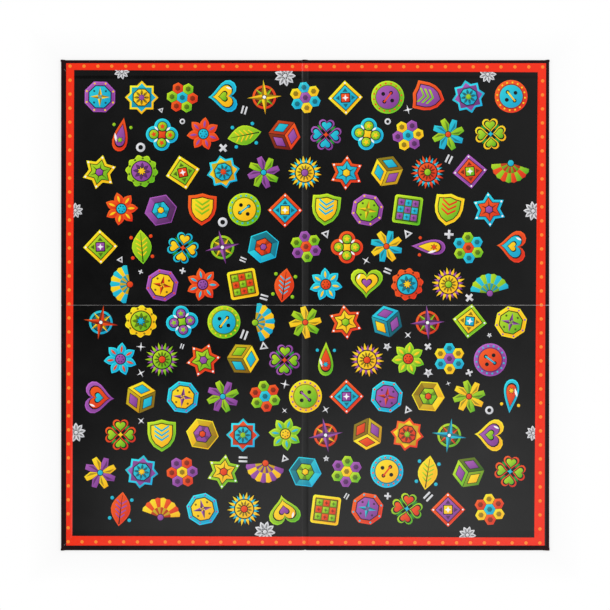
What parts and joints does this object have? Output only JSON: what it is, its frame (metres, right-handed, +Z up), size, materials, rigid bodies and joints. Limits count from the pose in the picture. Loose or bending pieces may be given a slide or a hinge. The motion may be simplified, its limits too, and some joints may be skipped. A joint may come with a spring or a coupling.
{
  "type": "folding game board",
  "caption": "Square game board in hinged panels with a printed playing face; it opens flat and folds to a small square stack.",
  "frame": {"origin": "on the table under the middle of the open board", "axes": "+Z up through the playing face, +X to the right of the player in front, +Y away from that player"},
  "size_m": [0.5, 0.502, 0.0026],
  "materials": {
    "grey_board": "matte",
    "back_paper": "satin",
    "printed_paper": "gloss"
  },
  "bodies": {
    "back_left_panel": {"core_board_back_left": "grey_board", "back_wrap_back_left": "back_paper", "face_sheet_back_left": "printed_paper"},
    "back_right_panel": {"core_board_back_right": "grey_board", "back_wrap_back_right": "back_paper", "face_sheet_back_right": "printed_paper", "gutter_face_paper_back": "printed_paper", "gutter_back_paper_back": "back_paper"},
    "front_left_panel": {"core_board_front_left": "grey_board", "back_wrap_front_left": "back_paper", "face_sheet_front_left": "printed_paper", "seam_back_paper_left": "back_paper"},
    "front_right_panel": {"core_board_front_right": "grey_board", "back_wrap_front_right": "back_paper", "face_sheet_front_right": "printed_paper", "gutter_face_paper_front": "printed_paper", "gutter_back_paper_front": "back_paper"}
  },
  "joints": [
    {"name": "fold_back", "type": "hinge", "parent": "back_left_panel", "child": "back_right_panel", "pos_m": [0, 0.12557, 0.00275], "axis": [0, -1, 0], "range_deg": [0, 179.5], "deforming": ["gutter_face_paper_back", "gutter_back_paper_back"]},
    {"name": "fold_middle", "type": "hinge", "parent": "back_left_panel", "child": "front_left_panel", "pos_m": [-0.12668, 0, -0.00015], "axis": [1, 0, 0], "range_deg": [0, 179.5], "deforming": ["seam_back_paper_left"]},
    {"name": "fold_front", "type": "hinge", "parent": "front_left_panel", "child": "front_right_panel", "pos_m": [0, -0.12557, 0.00275], "axis": [0, -1, 0], "range_deg": [0, 179.5], "deforming": ["gutter_face_paper_front", "gutter_back_paper_front"]}
  ]
}
